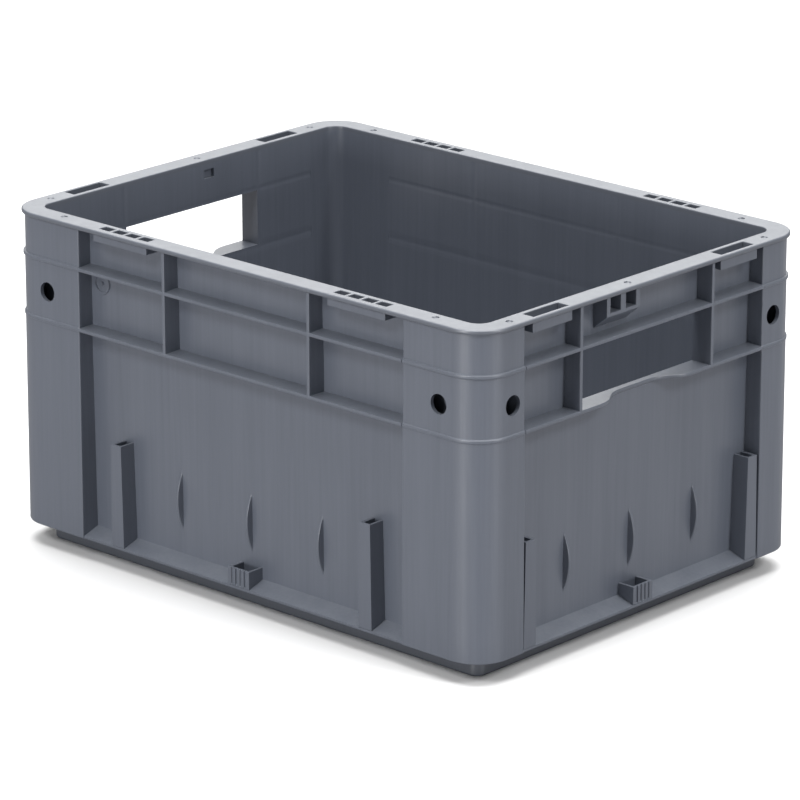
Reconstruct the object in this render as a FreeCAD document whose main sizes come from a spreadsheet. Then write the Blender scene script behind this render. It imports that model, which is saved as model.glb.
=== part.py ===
"""Stacking crate, 400 x 300 x 220 mm, with drafted walls, hollow corner posts and hand holes.

The frame: X along the long side, Y along the short side, Z up, and the origin at the middle of
the base plate's underside. "front" and "back" are the long sides at -Y and +Y, and "left" and
"right" are the short ends at -X and +X. Each member of the moulding is one body. It meets its
neighbours face to face, and all members together make one rigid crate.
"""
import FreeCAD, Part
import math
import os
import re
import Sketcher

# Driving dimensions in mm. An inset is measured inwards from the crate's outer rectangle, and
# a drop is measured downwards from the top of the rim.
DIMENSIONS = {
    "length": 400.0,            # outer size along X, over the rim's lip
    "width": 300.0,             # outer size along Y, over the rim's lip
    "height": 220.0,            # from the base plate's underside to the rim's top
    "corner_radius": 24.0,      # of the rim's outline
    "wall_corner": 11.5,        # outer corner radius of the wall behind the posts
    "rim_thick": 3.0,           # the flange on top of the walls
    "rim_round": 1.2,           # rounding of the flange's outer edges
    "face_inset": 1.6,          # outer faces of the posts, buttresses and ledge
    "rib_inset": 0.6,           # front edges of the stiffening ribs
    "recess": 12.5,             # inset of the wall's outer surface, just below the rim
    "wall_thick": 2.5,          # the wall that holds the load
    "wall_draft": 1.8,          # how far the walls close in between rim and floor
    "skin_thick": 2.5,          # outer skin and webs of the hollow corner posts
    "post_long": 63.5,          # post's reach along the long side, from the crate's end
    "post_short": 39.6,         # post's reach along the short side, from the crate's side
    "rib_drop_upper": 27.7,     # top of the upper rib's front edge
    "rib_drop_lower": 67.0,     # top of the lower rib's front edge
    "rib_root": 3.0,            # rib thickness where it leaves the wall
    "rib_tip": 2.2,             # rib thickness at its front edge
    "stud_offset": 61.0,        # upright ribs on both sides of the middle
    "stud_thick": 2.4,
    "fin_pitch": 60.0,          # three low fins on each lower panel
    "fin_thick": 1.8,
    "fin_span": 38.5,
    "fin_depth": 5.0,
    "fin_level": 55.0,
    "scoop_half": 47.0,         # half width of the bay cut into the rib below the hand hole
    "scoop_run": 13.0,          # length of the bay's S-shaped ends
    "scoop_leave": 1.4,         # what the bay leaves of the rib, in front of the recess
    "post_hole": 12.5,          # diameter of the round holes in the posts
    "post_hole_drop": 49.2,
    "post_hole_long": 35.0,     # hole centre from the crate's end, on a long side
    "post_hole_short": 29.0,    # hole centre from the crate's side, on a short end
    "foot_height": 14.0,        # base tray below the walls
    "stack_gap": 2.0,           # play of the base tray in the rim of the crate below it
    "foot_wall": 3.0,
    "base_thick": 2.5,
    "base_round": 2.0,
    "base_rib": 2.0,
    "floor_thick": 2.5,
    "floor_seat": 1.7,          # the floor reaches this far under the walls' outer surface
    "ledge_edge": 1.8,          # front edge of the ledge round the base
    "ledge_rise": 4.2,          # the ledge climbs this much towards the wall
    "buttress_lead_long": 30.5,  # from a post to the middle of the buttress beside it
    "buttress_lead_short": 6.2,
    "buttress_top": 83.0,
    "buttress_tip_width": 8.5,
    "buttress_base_width": 11.0,
    "buttress_wall": 1.8,
    "block_width": 18.0,        # fluted block in the middle of each ledge
    "block_top": 27.5,
    "block_wall": 2.0,
    "flute_pitch": 3.6,
    "flute_width": 1.6,
    "flute_depth": 0.8,
    "slot_pitch": 11.2,         # groups of four slots in the long sides of the rim
    "slot_length": 9.0,
    "slot_width": 6.0,
    "slot_inset": 5.0,
    "slot_well_drop": 7.6,      # underside of the wells below the slots
    "pocket_length": 31.0,      # long pockets in the short sides of the rim
    "pocket_width": 8.6,
    "pocket_inset": 3.0,
    "pocket_well_drop": 9.2,
    "well_wall": 2.0,
    "label_offset": 22.5,       # label holder below the rim, beside the middle of each end
    "label_width": 30.0,
    "label_drop": 15.0,         # underside of its upright front
    "label_foot_drop": 24.0,    # where its sloped underside meets the wall
    "label_window": 9.3,        # two windows in its front
    "label_window_pitch": 14.1,
    "label_window_drop": 13.0,
    "label_window_depth": 8.0,  # of the blind window
    "label_pass_drop": 12.5,    # the other window goes right through the wall
    "label_pass_height": 6.0,
}

# Places that follow from the driving dimensions.
WALL_TOP = "(height - rim_thick)"
FLOOR_TOP = "(foot_height + floor_thick)"
LEDGE_TOP = "(foot_height + ledge_edge)"
LEDGE_ROOT = "(foot_height + ledge_edge + ledge_rise)"
FLOOR_INSET = "(recess + wall_draft + floor_seat)"
WEB_INSET = "(recess + wall_draft / 2 + wall_thick / 2)"
LONG_SPAN = "(length / 2 - post_long)"
SHORT_SPAN = "(width / 2 - post_short)"
UPPER_RIB = "(height - rib_drop_upper)"
LOWER_RIB = "(height - rib_drop_lower)"
UPPER_RIB_UNDER = f"({UPPER_RIB} - rib_tip)"
GRIP_HALF = "(stud_offset - stud_thick / 2)"
FOOT_INSET = "(recess + wall_thick + stack_gap)"
FOOT_CORNER = "(wall_corner - wall_thick - stack_gap)"
MOUTH_CORNER = "(wall_corner - wall_thick)"
BUTTRESS_LONG = f"({LONG_SPAN} - buttress_lead_long)"
BUTTRESS_SHORT = f"({SHORT_SPAN} - buttress_lead_short)"
# The slots and the pockets lie in the middle of the bays between a stud and a post.
SLOT_GROUP = f"((stud_offset + stud_thick / 2 + {LONG_SPAN}) / 2)"
POCKET_MIDDLE = f"((stud_offset + stud_thick / 2 + {SHORT_SPAN}) / 2)"

SLOTS = 4               # slots in each group
FINS = 3                # fins on each lower panel
FLUTES = 4              # flutes in each ledge block
LONG_BARS = 5           # ribs inside the base along the length and along the width
SHORT_BARS = 3
FLAT = 1e-6             # an edge with less height than this is level
WORD = re.compile(r"[a-z_]+")

doc = FreeCAD.newDocument("StackingCrate")
sheet = doc.addObject("Spreadsheet::Sheet", "dims")
for row, (alias, value) in enumerate(DIMENSIONS.items(), start=1):
    sheet.set(f"A{row}", str(value))
    sheet.setAlias(f"A{row}", alias)
doc.recompute()


def rewrite(text, change):
    """Replace each dimension's name in an expression, and leave functions as they are."""
    return WORD.sub(
        lambda word: change(word.group()) if word.group() in DIMENSIONS else word.group(), text)


def bound(text):
    """The expression that reads the named dimensions in text from the sheet."""
    return rewrite(text, lambda name: "dims." + name)


def number(text):
    """The value that an expression has now, for a sketch's first layout."""
    return FreeCAD.Units.Quantity(rewrite(text, lambda name: str(sheet.get(name)))).Value


def new_body(label, turn=0.0):
    """A body for one member, turned about Z to its side of the crate."""
    body = doc.addObject("PartDesign::Body", label)
    body.Label = label
    body.Placement = FreeCAD.Placement(
        FreeCAD.Vector(), FreeCAD.Rotation(FreeCAD.Vector(0, 0, 1), turn))
    return body


def origin_feature(body, role):
    """One of the body's own origin planes or axes."""
    return next(item for item in body.Origin.OriginFeatures if item.Role == role)


def new_sketch(body, plane, offset="0"):
    """A sketch on an origin plane of the body, moved along the plane's normal."""
    sketch = body.newObject("Sketcher::SketchObject", body.Label + "_sketch")
    sketch.AttachmentSupport = [(origin_feature(body, plane), "")]
    sketch.MapMode = "FlatFace"
    sketch.setExpression("AttachmentOffset.Base.z", bound(offset))
    return sketch


def pin(sketch, edge, end, place):
    """Hold one end of an edge at a place given by two expressions."""
    for kind, text in zip(("DistanceX", "DistanceY"), place):
        index = sketch.addConstraint(
            Sketcher.Constraint(kind, -1, 1, edge, end, number(text)))
        sketch.setExpression(f"Constraints[{index}]", bound(text))


def arc_between(start, stop, radius):
    """The arc of this signed radius between two points; a positive one turns left."""
    middle = (start + stop) * 0.5
    half = (stop - start) * 0.5
    rise = math.sqrt(max(radius * radius - half.Length ** 2, 0.0))
    normal = FreeCAD.Vector(-half.y, half.x, 0).normalize()
    centre = middle + normal * (rise if radius > 0 else -rise)
    first, last = (start, stop) if radius > 0 else (stop, start)
    angles = [math.atan2(p.y - centre.y, p.x - centre.x) for p in (first, last)]
    circle = Part.Circle(centre, FreeCAD.Vector(0, 0, 1), abs(radius))
    return Part.ArcOfCircle(circle, angles[0], angles[1])


def outline(sketch, places, radii=None):
    """A closed outline through places; radii gives the arcs, by the place they start from.

    A radius is an expression and a sign: +1 for an arc that turns left, -1 for one that
    turns right.
    """
    radii = radii or {}
    points = [FreeCAD.Vector(number(x), number(y), 0) for x, y in places]
    count = len(points)
    edges = []
    for index, point in enumerate(points):
        following = points[(index + 1) % count]
        if index in radii:
            text, sign = radii[index]
            edges.append(sketch.addGeometry(
                arc_between(point, following, sign * number(text)), False))
        else:
            edges.append(sketch.addGeometry(Part.LineSegment(point, following), False))
    for index, edge in enumerate(edges):
        turns_right = index in radii and radii[index][1] < 0
        start, stop = (2, 1) if turns_right else (1, 2)
        following = (index + 1) % count
        next_start = 2 if following in radii and radii[following][1] < 0 else 1
        sketch.addConstraint(
            Sketcher.Constraint("Coincident", edge, stop, edges[following], next_start))
        pin(sketch, edge, start, places[index])
        if index in radii:
            radius = sketch.addConstraint(
                Sketcher.Constraint("Radius", edge, abs(number(radii[index][0]))))
            sketch.setExpression(f"Constraints[{radius}]", bound(radii[index][0]))


def rectangle(sketch, left, right, bottom, top):
    """A rectangle between four expressions."""
    outline(sketch, [(left, bottom), (right, bottom), (right, top), (left, top)])


def rounded_rectangle(sketch, half_x, half_y, radius):
    """A rectangle about the sketch's origin with four round corners."""
    flat_x = f"({half_x} - {radius})"
    flat_y = f"({half_y} - {radius})"
    places = [
        (f"-{flat_x}", f"-({half_y})"), (flat_x, f"-({half_y})"),
        (half_x, f"-{flat_y}"), (half_x, flat_y),
        (flat_x, half_y), (f"-{flat_x}", half_y),
        (f"-({half_x})", flat_y), (f"-({half_x})", f"-{flat_y}"),
    ]
    outline(sketch, places, {index: (radius, 1) for index in (1, 3, 5, 7)})


def circle(sketch, x, y, radius):
    """A circle whose centre and radius are expressions."""
    centre = FreeCAD.Vector(number(x), number(y), 0)
    edge = sketch.addGeometry(
        Part.Circle(centre, FreeCAD.Vector(0, 0, 1), number(radius)), False)
    pin(sketch, edge, 3, (x, y))
    index = sketch.addConstraint(Sketcher.Constraint("Radius", edge, number(radius)))
    sketch.setExpression(f"Constraints[{index}]", bound(radius))


def pad(body, sketch, length, symmetric=False, backwards=False):
    """Add a sketch's section to the body."""
    feature = body.newObject("PartDesign::Pad", body.Label + "_pad")
    feature.Profile = sketch
    feature.SideType = "Symmetric" if symmetric else "One side"
    feature.Reversed = backwards
    feature.setExpression("Length", bound(length))
    return feature


def pocket(body, sketch, length, symmetric=False, backwards=False):
    """Cut a sketch's section out of the body, and check that it took something away."""
    doc.recompute()
    before = body.Shape.Volume
    feature = body.newObject("PartDesign::Pocket", body.Label + "_pocket")
    feature.Profile = sketch
    feature.SideType = "Symmetric" if symmetric else "One side"
    feature.Reversed = backwards
    feature.setExpression("Length", bound(length))
    doc.recompute()
    if body.Shape.Volume >= before - FLAT:
        raise RuntimeError(f"{feature.Label} cuts nothing")
    return feature


def repeat(body, feature, axis, spacing, count):
    """Repeat a feature along one of the body's axes; spacing lies between neighbours."""
    pattern = body.newObject("PartDesign::LinearPattern", body.Label + "_pattern")
    pattern.Originals = [feature]
    pattern.Direction = (origin_feature(body, axis), [""])
    pattern.Occurrences = count
    pattern.setExpression("Length", bound(f"({spacing}) * {count - 1}"))
    body.Tip = pattern
    return pattern


def mirror(body, feature, plane):
    """Mirror a feature in one of the body's origin planes."""
    copy = body.newObject("PartDesign::Mirrored", body.Label + "_mirror")
    copy.Originals = [feature]
    copy.MirrorPlane = (origin_feature(body, plane), [""])
    body.Tip = copy
    return copy


def wall_face(half, level):
    """The drafted wall's outer surface at a level, in a wall's own frame."""
    return (f"({half} - recess - wall_draft * ({WALL_TOP} - ({level}))"
            f" / ({WALL_TOP} - {FLOOR_TOP}))")


def upper_rib_points(half):
    """The upper rib's section: flat below and tapered above."""
    root = f"({UPPER_RIB} + rib_root - rib_tip)"
    return [
        (wall_face(half, root), root),
        (f"{half} - rib_inset", UPPER_RIB),
        (f"{half} - rib_inset", UPPER_RIB_UNDER),
    ]


def lower_rib_points(half):
    """The lower rib's section from its front edge down: flat above and tapered below."""
    root = f"({LOWER_RIB} - rib_root)"
    return [
        (f"{half} - rib_inset", LOWER_RIB),
        (f"{half} - rib_inset", f"{LOWER_RIB} - rib_tip"),
        (wall_face(half, root), root),
    ]


def lower_wall_points(half):
    """The wall below its ribs: down to the ledge, round it and up to the floor's top."""
    return [
        (wall_face(half, LEDGE_ROOT), LEDGE_ROOT),
        (f"{half} - face_inset", LEDGE_TOP),
        (f"{half} - face_inset", "foot_height"),
        (f"{half} - {FLOOR_INSET}", "foot_height"),
        (f"{half} - {FLOOR_INSET}", FLOOR_TOP),
        (f"{wall_face(half, FLOOR_TOP)} - wall_thick", FLOOR_TOP),
    ]


def wall_head_points(half):
    """The wall's two upper corners, below the rim, from the inside to the outside."""
    return [
        (f"{half} - recess - wall_thick", WALL_TOP),
        (f"{half} - recess", WALL_TOP),
    ]


def add_studs(body, half, bottom, top):
    """Two upright ribs, from the wall to the front edges of the level ribs."""
    sketch = new_sketch(body, "XZ_Plane", f"-({half} - rib_inset)")
    rectangle(sketch, GRIP_HALF, "stud_offset + stud_thick / 2", bottom, top)
    stud = pad(body, sketch, "recess - rib_inset + wall_thick / 2")
    return mirror(body, stud, "YZ_Plane")


def add_fins(body, half):
    """Three low fins: segments of a disc that stand on the wall."""
    face = wall_face(half, "fin_level")
    radius = "((fin_span * fin_span / 4 + fin_depth * fin_depth) / (2 * fin_depth))"
    reach = "(fin_depth + wall_thick / 2)"
    half_chord = f"sqrt({reach} * (2 * {radius} - {reach}))"
    foot = f"({face} - wall_thick / 2)"
    sketch = new_sketch(body, "YZ_Plane", "-fin_pitch - fin_thick / 2")
    places = [(foot, f"fin_level - {half_chord}"), (foot, f"fin_level + {half_chord}")]
    outline(sketch, places, {0: (radius, 1)})
    fin = pad(body, sketch, "fin_thick")
    return repeat(body, fin, "X_Axis", "fin_pitch", FINS)


def long_wall(label, turn):
    """A long side between two posts, with both level ribs, two studs and three fins."""
    half = "width / 2"
    body = new_body(label, turn)
    section = new_sketch(body, "YZ_Plane")
    mid_wall = [(wall_face(half, UPPER_RIB_UNDER), UPPER_RIB_UNDER),
                (wall_face(half, LOWER_RIB), LOWER_RIB)]
    outline(section, wall_head_points(half) + upper_rib_points(half) + mid_wall
            + lower_rib_points(half) + lower_wall_points(half))
    pad(body, section, f"2 * {LONG_SPAN}", symmetric=True)
    add_studs(body, half, f"{LOWER_RIB} - rib_tip / 2", WALL_TOP)
    add_fins(body, half)
    return body


def end_panel(label, turn):
    """The lower part of a short end, whose top rib has a bay below the hand hole."""
    half = "length / 2"
    body = new_body(label, turn)
    section = new_sketch(body, "YZ_Plane")
    inner_head = (f"{wall_face(half, LOWER_RIB)} - wall_thick", LOWER_RIB)
    outline(section, [inner_head] + lower_rib_points(half) + lower_wall_points(half))
    pad(body, section, f"2 * {SHORT_SPAN}", symmetric=True)
    bay = new_sketch(body, "XY_Plane", LOWER_RIB)
    front = f"({half} - rib_inset)"
    back = f"({half} - recess + scoop_leave)"
    depth = "(recess - scoop_leave - rib_inset)"
    radius = f"((scoop_run * scoop_run + {depth} * {depth}) / (4 * {depth}))"
    halfway = f"(({front} + {back}) / 2)"
    clear = f"({front} + face_inset)"
    outline(bay, [
        ("-scoop_half", front), ("-scoop_half + scoop_run / 2", halfway),
        ("-scoop_half + scoop_run", back), ("scoop_half - scoop_run", back),
        ("scoop_half - scoop_run / 2", halfway), ("scoop_half", front),
        ("scoop_half", clear), ("-scoop_half", clear),
    ], {0: (radius, -1), 1: (radius, 1), 3: (radius, 1), 4: (radius, -1)})
    pocket(body, bay, "rib_root + rib_tip")
    add_fins(body, half)
    return body


def end_jamb(label, turn, side):
    """The wall beside a hand hole, with the upright rib that bounds the hole."""
    half = "length / 2"
    body = new_body(label, turn)
    start = GRIP_HALF if side > 0 else f"-{SHORT_SPAN}"
    section = new_sketch(body, "YZ_Plane", start)
    outline(section, [
        (wall_face(half, LOWER_RIB), LOWER_RIB),
        (wall_face(half, UPPER_RIB_UNDER), UPPER_RIB_UNDER),
        (f"{wall_face(half, UPPER_RIB_UNDER)} - wall_thick", UPPER_RIB_UNDER),
        (f"{wall_face(half, LOWER_RIB)} - wall_thick", LOWER_RIB),
    ])
    pad(body, section, f"{SHORT_SPAN} - {GRIP_HALF}")
    stud = new_sketch(body, "XZ_Plane", f"-({half} - rib_inset)")
    near, far = GRIP_HALF, "(stud_offset + stud_thick / 2)"
    if side < 0:
        near, far = f"-{far}", f"-{near}"
    rectangle(stud, near, far, LOWER_RIB, UPPER_RIB_UNDER)
    pad(body, stud, "recess - rib_inset + wall_thick / 2")
    return body


def end_rail(label, turn):
    """The upper part of a short end: the upper rib, two studs and the label's passage."""
    half = "length / 2"
    body = new_body(label, turn)
    section = new_sketch(body, "YZ_Plane")
    under = (f"{wall_face(half, UPPER_RIB_UNDER)} - wall_thick", UPPER_RIB_UNDER)
    outline(section, wall_head_points(half) + upper_rib_points(half) + [under])
    pad(body, section, f"2 * {SHORT_SPAN}", symmetric=True)
    add_studs(body, half, f"{UPPER_RIB} - rib_tip / 2", WALL_TOP)
    passage = new_sketch(body, "XZ_Plane", f"-({half} - recess)")
    middle = "(label_offset - label_window_pitch / 2)"
    rectangle(passage, f"{middle} - label_window / 2", f"{middle} + label_window / 2",
              "height - label_pass_drop", "height - label_pass_drop + label_pass_height")
    pocket(body, passage, "2 * wall_thick", backwards=True)
    return body


def label_holder(label, turn):
    """The box below an end's rim with two windows that hold a label."""
    half = "length / 2"
    body = new_body(label, turn)
    left = "(label_offset - label_width / 2)"
    side_view = new_sketch(body, "YZ_Plane", left)
    outline(side_view, [
        (f"{half} - recess", WALL_TOP),
        (f"{half} - face_inset", WALL_TOP),
        (f"{half} - face_inset", "height - label_drop"),
        (wall_face(half, "height - label_foot_drop"), "height - label_foot_drop"),
    ])
    pad(body, side_view, "label_width")
    depths = {"-": "recess - face_inset", "+": "label_window_depth"}
    for sign, depth in depths.items():
        middle = f"(label_offset {sign} label_window_pitch / 2)"
        window = new_sketch(body, "XZ_Plane", f"-({half} - face_inset)")
        rectangle(window, f"{middle} - label_window / 2", f"{middle} + label_window / 2",
                  "height - label_window_drop", WALL_TOP)
        pocket(body, window, depth, backwards=True)
    return body


def post_places(inset, reach, hand):
    """An L-shaped path round a corner at an inset, from the long side to the short end.

    The path ends at reach past the post's own ends, and its corner is concentric with the rim's.
    """
    side = "" if hand > 0 else "-"
    return [
        (f"length / 2 - post_long + {reach}", f"{side}(width / 2 - {inset})"),
        ("length / 2 - corner_radius", f"{side}(width / 2 - {inset})"),
        (f"length / 2 - {inset}", f"{side}(width / 2 - corner_radius)"),
        (f"length / 2 - {inset}", f"{side}(width / 2 - post_short + {reach})"),
    ]


def post_band(sketch, outer, inner, hand):
    """A band of even thickness round the corner, between two insets."""
    places = post_places(outer, "0", hand) + post_places(inner, "0", hand)[::-1]
    outline(sketch, places, {1: (f"(corner_radius - {outer})", -hand),
                             5: (f"(corner_radius - {inner})", hand)})


def corner_post(label, turn, hand):
    """A hollow corner post: outer skin, two webs, the drafted inner wall and two beads."""
    side = "" if hand > 0 else "-"
    body = new_body(label, turn)
    skin = new_sketch(body, "XY_Plane", "foot_height")
    inner = "(face_inset + skin_thick)"
    outside = post_places("face_inset", "0", hand)
    inside = post_places(inner, "skin_thick", hand)[::-1]
    web_end = [
        (f"length / 2 - {WEB_INSET}", f"{side}(width / 2 - post_short)"),
        (f"length / 2 - {WEB_INSET}", f"{side}(width / 2 - post_short + skin_thick)"),
    ]
    web_start = [
        ("length / 2 - post_long + skin_thick", f"{side}(width / 2 - {WEB_INSET})"),
        ("length / 2 - post_long", f"{side}(width / 2 - {WEB_INSET})"),
    ]
    outline(skin, outside + web_end + inside + web_start,
            {1: ("(corner_radius - face_inset)", -hand), 7: (f"(corner_radius - {inner})", hand)})
    pad(body, skin, f"{WALL_TOP} - foot_height")

    radius = "wall_corner"
    sections = []
    for level, inset in ((FLOOR_TOP, "(recess + wall_draft)"), (WALL_TOP, "recess")):
        section = new_sketch(body, "XY_Plane", level)
        curve = f"({inset} + {radius})"
        inside = f"({inset} + wall_thick)"
        outline(section, [
            ("length / 2 - post_long", f"{side}(width / 2 - {inset})"),
            (f"length / 2 - {curve}", f"{side}(width / 2 - {inset})"),
            (f"length / 2 - {inset}", f"{side}(width / 2 - {curve})"),
            (f"length / 2 - {inset}", f"{side}(width / 2 - post_short)"),
            (f"length / 2 - {inside}", f"{side}(width / 2 - post_short)"),
            (f"length / 2 - {inside}", f"{side}(width / 2 - {curve})"),
            (f"length / 2 - {curve}", f"{side}(width / 2 - {inside})"),
            ("length / 2 - post_long", f"{side}(width / 2 - {inside})"),
        ], {1: (radius, -hand), 5: (MOUTH_CORNER, hand)})
        sections.append(section)
    inner_wall = body.newObject("PartDesign::AdditiveLoft", label + "_inner_wall")
    inner_wall.Profile = sections[0]
    inner_wall.Sections = sections[1:]
    inner_wall.Ruled = True

    long_hole = new_sketch(body, "XZ_Plane", f"-({side}(width / 2 - face_inset))")
    circle(long_hole, "length / 2 - post_hole_long", "height - post_hole_drop", "post_hole / 2")
    pocket(body, long_hole, "2 * skin_thick", backwards=hand > 0)
    short_hole = new_sketch(body, "YZ_Plane", "length / 2 - face_inset")
    circle(short_hole, f"{side}(width / 2 - post_hole_short)", "height - post_hole_drop",
           "post_hole / 2")
    pocket(body, short_hole, "2 * skin_thick")

    bead = new_sketch(body, "XY_Plane", f"{LOWER_RIB} - rib_tip")
    post_band(bead, "rib_inset", "(face_inset + skin_thick / 2)", hand)
    repeat(body, pad(body, bead, "rib_tip"), "Z_Axis", "rib_drop_lower - rib_drop_upper", 2)
    return body


def ledge_piece(label, turn, half, middle, tip_width, base_width, top, wall):
    """A hollow piece on the ledge, open at its top and closed by the wall behind it."""
    body = new_body(label, turn)
    deep = f"({half} - recess - wall_draft)"
    front = new_sketch(body, "XZ_Plane", f"-({half} - face_inset)")
    outline(front, [
        (f"{middle} - {base_width} / 2", LEDGE_TOP), (f"{middle} + {base_width} / 2", LEDGE_TOP),
        (f"{middle} + {tip_width} / 2", top), (f"{middle} - {tip_width} / 2", top),
    ])
    pad(body, front, "recess + wall_draft - face_inset")
    seat = new_sketch(body, "YZ_Plane", middle)
    outline(seat, [
        (f"{half} - face_inset", LEDGE_TOP), (wall_face(half, LEDGE_ROOT), LEDGE_ROOT),
        (wall_face(half, top), top), (deep, top), (deep, LEDGE_TOP),
    ])
    pocket(body, seat, f"2 * {base_width}", symmetric=True)
    hollow = new_sketch(body, "XY_Plane", top)
    rectangle(hollow, f"{middle} - {tip_width} / 2 + {wall}", f"{middle} + {tip_width} / 2 - {wall}",
              deep, f"{half} - face_inset - {wall}")
    pocket(body, hollow, f"{top} - {LEDGE_ROOT}")
    return body


def ledge_block(label, turn, half):
    """The low block in the middle of a ledge, with four flutes in its front."""
    body = ledge_piece(label, turn, half, "0", "block_width", "block_width", "block_top",
                       "block_wall")
    first = f"(-{(FLUTES - 1) / 2} * flute_pitch)"
    sketch = new_sketch(body, "XY_Plane", "block_top")
    rectangle(sketch, f"{first} - flute_width / 2", f"{first} + flute_width / 2",
              f"{half} - face_inset - flute_depth", half)
    flute = pocket(body, sketch, f"block_top - {LEDGE_TOP} - flute_depth")
    repeat(body, flute, "X_Axis", "flute_pitch", FLUTES)
    return body


def rim_openings(sketch):
    """The slots and pockets of the rim, each in its place on all four sides."""
    for x_side in ("-", ""):
        for y_side in ("-", ""):
            for step in range(SLOTS):
                shift = step - (SLOTS - 1) / 2
                middle = f"{x_side}{SLOT_GROUP} + ({shift}) * slot_pitch"
                edges = sorted((f"{y_side}(width / 2 - slot_inset)",
                                f"{y_side}(width / 2 - slot_inset - slot_width)"), key=number)
                rectangle(sketch, f"{middle} - slot_length / 2", f"{middle} + slot_length / 2",
                          *edges)
            edges = sorted((f"{x_side}(length / 2 - pocket_inset)",
                            f"{x_side}(length / 2 - pocket_inset - pocket_width)"), key=number)
            rectangle(sketch, *edges, f"{y_side}{POCKET_MIDDLE} - pocket_length / 2",
                      f"{y_side}{POCKET_MIDDLE} + pocket_length / 2")


def rim_frame():
    """The flange that ties posts and walls together, with slots, pockets and a rounded lip."""
    body = new_body("rim_frame")
    outer = new_sketch(body, "XY_Plane", WALL_TOP)
    rounded_rectangle(outer, "(length / 2)", "(width / 2)", "corner_radius")
    flange = pad(body, outer, "rim_thick")
    doc.recompute()
    lip = [f"Edge{index}" for index, edge in enumerate(flange.Shape.Edges, start=1)
           if edge.BoundBox.ZLength < FLAT]
    round_off = body.newObject("PartDesign::Fillet", "rim_frame_lip")
    round_off.Base = (flange, lip)
    round_off.setExpression("Radius", bound("rim_round"))
    doc.recompute()
    mouth = new_sketch(body, "XY_Plane", "height")
    rounded_rectangle(mouth, "(length / 2 - recess - wall_thick)",
                      "(width / 2 - recess - wall_thick)", MOUTH_CORNER)
    pocket(body, mouth, "rim_thick")
    holes = new_sketch(body, "XY_Plane", "height")
    rim_openings(holes)
    pocket(body, holes, "rim_thick")
    return body


def well(label, turn, half, middle, cavity, inset, opening, drop):
    """A box below the rim that closes the slots or the pocket above it."""
    body = new_body(label, turn)
    box = new_sketch(body, "XY_Plane", f"height - {drop}")
    rectangle(box, f"{middle} - {cavity} / 2 - well_wall", f"{middle} + {cavity} / 2 + well_wall",
              f"{half} - recess", f"{half} - face_inset")
    pad(body, box, f"{drop} - rim_thick")
    hollow = new_sketch(body, "XY_Plane", WALL_TOP)
    rectangle(hollow, f"{middle} - {cavity} / 2", f"{middle} + {cavity} / 2",
              f"{half} - {inset} - {opening}", f"{half} - {inset}")
    pocket(body, hollow, f"{drop} - rim_thick - well_wall")
    return body


def floor_panel():
    """The crate's floor, which rests on the base tray and carries the walls' feet."""
    body = new_body("floor_panel")
    sketch = new_sketch(body, "XY_Plane", "foot_height")
    rounded_rectangle(sketch, f"(length / 2 - {FLOOR_INSET})", f"(width / 2 - {FLOOR_INSET})",
                      "(wall_corner - wall_draft - floor_seat)")
    pad(body, sketch, "floor_thick")
    return body


def base_tray():
    """The smooth base below the floor, with a rounded edge and ribs between both skins."""
    body = new_body("base_tray")
    half_x = f"(length / 2 - {FOOT_INSET})"
    half_y = f"(width / 2 - {FOOT_INSET})"
    outer = new_sketch(body, "XY_Plane")
    rounded_rectangle(outer, half_x, half_y, FOOT_CORNER)
    block = pad(body, outer, "foot_height")
    doc.recompute()
    bottom = [f"Edge{index}" for index, edge in enumerate(block.Shape.Edges, start=1)
              if edge.BoundBox.ZMax < FLAT]
    round_off = body.newObject("PartDesign::Fillet", "base_tray_edge")
    round_off.Base = (block, bottom)
    round_off.setExpression("Radius", bound("base_round"))
    inner = new_sketch(body, "XY_Plane", "foot_height")
    rounded_rectangle(inner, f"({half_x} - foot_wall)", f"({half_y} - foot_wall)",
                      f"({FOOT_CORNER} - foot_wall)")
    pocket(body, inner, "foot_height - base_thick")
    for axis, half, reach, bars in (("X_Axis", half_x, half_y, LONG_BARS),
                                    ("Y_Axis", half_y, half_x, SHORT_BARS)):
        pitch = f"(2 * {half} / {bars + 1})"
        sides = (f"-{half} + {pitch} - base_rib / 2", f"-{half} + {pitch} + base_rib / 2")
        ends = (f"-({reach} - foot_wall / 2)", f"{reach} - foot_wall / 2")
        bar = new_sketch(body, "XY_Plane", "base_thick")
        rectangle(bar, *(sides + ends if axis == "X_Axis" else ends + sides))
        repeat(body, pad(body, bar, "foot_height - base_thick"), axis, pitch, bars)
    return body


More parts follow.
